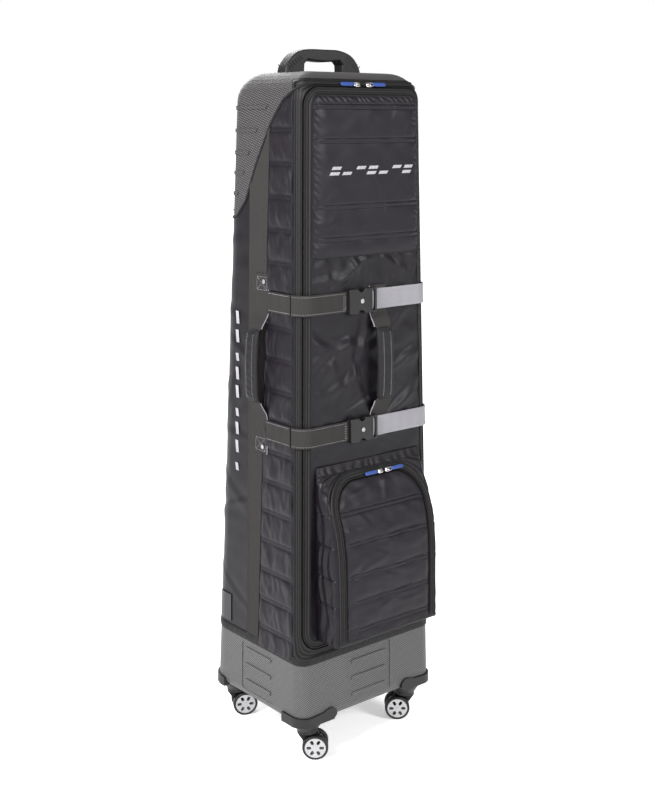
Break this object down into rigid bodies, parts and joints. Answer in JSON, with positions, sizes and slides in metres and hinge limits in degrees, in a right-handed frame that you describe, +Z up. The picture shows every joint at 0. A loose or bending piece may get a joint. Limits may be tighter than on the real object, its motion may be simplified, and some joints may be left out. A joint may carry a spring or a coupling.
{
  "type": "golf travel case",
  "caption": "Upright wheeled golf travel case with hard base and crown, zipped quilted front lid and pocket, buckled straps, webbing handles and swivel twin-wheel casters",
  "frame": {"origin": "on the floor, under the centre of the whole object's bounding box", "axes": "+Z up, +X across the width, -Y is the front with the lid, pocket and buckles"},
  "size_m": [0.3756, 0.3657, 1.3401],
  "materials": {
    "base_shell": "light grey fine woven pattern, satin",
    "top_shell": "dark grey fine woven pattern, satin",
    "piping": "black bound edge",
    "plain_nylon": "dark charcoal nylon, slight sheen",
    "quilted_nylon": "dark charcoal quilted nylon",
    "dark_webbing": "dark grey webbing with pale edge",
    "grey_webbing": "pale grey webbing",
    "zip_tape": "black zip tape with piping",
    "handle_wrap": "padded dark wrap",
    "guard_plastic": "gloss black",
    "dark_plastic": "dark charcoal moulded plastic",
    "buckle_plastic": "black moulded plastic",
    "steel": "bright steel",
    "slider_metal": "nickel plated, with blue tab",
    "pad": "foam pad under cloth",
    "tyre": "black moulded tyre",
    "hub": "silver painted plastic"
  },
  "bodies": {
    "case": {"base_shell": "base_shell", "top_shell": "top_shell", "shell_piping": "piping", "body_panel": "plain_nylon", "webbing_strip_left": "dark_webbing", "webbing_strip_right": "dark_webbing", "quilted_gusset_left": "quilted_nylon", "quilted_gusset_right": "quilted_nylon", "zip_outer_band": "zip_tape", "hem_band": "piping", "corner_guards": "guard_plastic", "side_handle_webbing_left": "dark_webbing", "side_handle_webbing_right": "dark_webbing", "side_handle_grip_left": "handle_wrap", "side_handle_grip_right": "handle_wrap", "side_straps_left": "dark_webbing", "side_straps_right": "grey_webbing", "strap_rivets": "steel", "top_handle": "dark_plastic", "handle_plate": "steel", "handle_screws": "steel", "crown_pad": "pad", "caster_housing_front_left": "dark_plastic", "caster_housing_front_right": "dark_plastic", "caster_housing_back_left": "dark_plastic", "caster_housing_back_right": "dark_plastic"},
    "lid": {"front_quilt_panel": "quilted_nylon", "front_plain_panel": "plain_nylon", "zip_inner_band": "zip_tape", "front_handle_webbing": "dark_webbing", "front_handle_grip": "handle_wrap", "pocket_gusset": "plain_nylon", "pocket_zip_band": "zip_tape", "strap_upper_left": "dark_webbing", "strap_lower_left": "dark_webbing", "buckle_socket_upper": "buckle_plastic", "buckle_socket_lower": "buckle_plastic"},
    "pocket_door": {"pocket_flap": "quilted_nylon"},
    "strap_upper_right_half": {"strap_upper_right": "grey_webbing", "buckle_plug_upper": "buckle_plastic"},
    "strap_lower_right_half": {"strap_lower_right": "grey_webbing", "buckle_plug_lower": "buckle_plastic"},
    "main_slider_left": {"main_slider_left": "slider_metal"},
    "main_slider_right": {"main_slider_right": "slider_metal"},
    "pocket_slider_left": {"pocket_slider_left": "slider_metal"},
    "pocket_slider_right": {"pocket_slider_right": "slider_metal"},
    "caster_front_left": {"caster_fork_front_left": "dark_plastic"},
    "wheels_front_left": {"tyres_front_left": "tyre", "hubs_front_left": "hub"},
    "caster_front_right": {"caster_fork_front_right": "dark_plastic"},
    "wheels_front_right": {"tyres_front_right": "tyre", "hubs_front_right": "hub"},
    "caster_back_left": {"caster_fork_back_left": "dark_plastic"},
    "wheels_back_left": {"tyres_back_left": "tyre", "hubs_back_left": "hub"},
    "caster_back_right": {"caster_fork_back_right": "dark_plastic"},
    "wheels_back_right": {"tyres_back_right": "tyre", "hubs_back_right": "hub"}
  },
  "joints": [
    {"name": "lid_hinge", "type": "hinge", "parent": "case", "child": "lid", "pos_m": [0, -0.1236, 0.236], "axis": [1, 0, 0], "range_deg": [0, 85]},
    {"name": "pocket_flap_hinge", "type": "hinge", "parent": "lid", "child": "pocket_door", "pos_m": [0, -0.18304, 0.262], "axis": [1, 0, 0], "range_deg": [0, 40]},
    {"name": "buckle_upper_release", "type": "slide", "parent": "lid", "child": "strap_upper_right_half", "axis": [1, 0, 0], "range_m": [0, 0.036]},
    {"name": "buckle_lower_release", "type": "slide", "parent": "lid", "child": "strap_lower_right_half", "axis": [1, 0, 0], "range_m": [0, 0.036]},
    {"name": "main_slider_left_slide", "type": "slide", "parent": "case", "child": "main_slider_left", "axis": [1, 0, 0], "range_m": [-0.059, 0]},
    {"name": "main_slider_right_slide", "type": "slide", "parent": "case", "child": "main_slider_right", "axis": [1, 0, 0], "range_m": [0, 0.067]},
    {"name": "pocket_slider_left_slide", "type": "slide", "parent": "lid", "child": "pocket_slider_left", "axis": [1, 0, 0], "range_m": [-0.055, 0]},
    {"name": "pocket_slider_right_slide", "type": "slide", "parent": "lid", "child": "pocket_slider_right", "axis": [1, 0, 0], "range_m": [0, 0.012]},
    {"name": "caster_swivel_front_left", "type": "hinge", "parent": "case", "child": "caster_front_left", "pos_m": [-0.13, -0.0915, 0.06], "axis": [0, 0, 1], "continuous": true},
    {"name": "wheel_roll_front_left", "type": "hinge", "parent": "caster_front_left", "child": "wheels_front_left", "pos_m": [-0.11767, -0.1017, 0.0255], "axis": [0.6374, 0.7705, 0], "continuous": true},
    {"name": "caster_swivel_front_right", "type": "hinge", "parent": "case", "child": "caster_front_right", "pos_m": [0.13, -0.0915, 0.06], "axis": [0, 0, 1], "continuous": true},
    {"name": "wheel_roll_front_right", "type": "hinge", "parent": "caster_front_right", "child": "wheels_front_right", "pos_m": [0.11767, -0.0813, 0.0255], "axis": [-0.6374, -0.7705, 0], "continuous": true},
    {"name": "caster_swivel_back_left", "type": "hinge", "parent": "case", "child": "caster_back_left", "pos_m": [-0.13, 0.1445, 0.06], "axis": [0, 0, 1], "continuous": true},
    {"name": "wheel_roll_back_left", "type": "hinge", "parent": "caster_back_left", "child": "wheels_back_left", "pos_m": [-0.11582, 0.13709, 0.0255], "axis": [0.4633, 0.8862, 0], "continuous": true},
    {"name": "caster_swivel_back_right", "type": "hinge", "parent": "case", "child": "caster_back_right", "pos_m": [0.13, 0.1445, 0.06], "axis": [0, 0, 1], "continuous": true},
    {"name": "wheel_roll_back_right", "type": "hinge", "parent": "caster_back_right", "child": "wheels_back_right", "pos_m": [0.13985, 0.13189, 0.0255], "axis": [0.788, 0.6157, 0], "continuous": true}
  ]
}
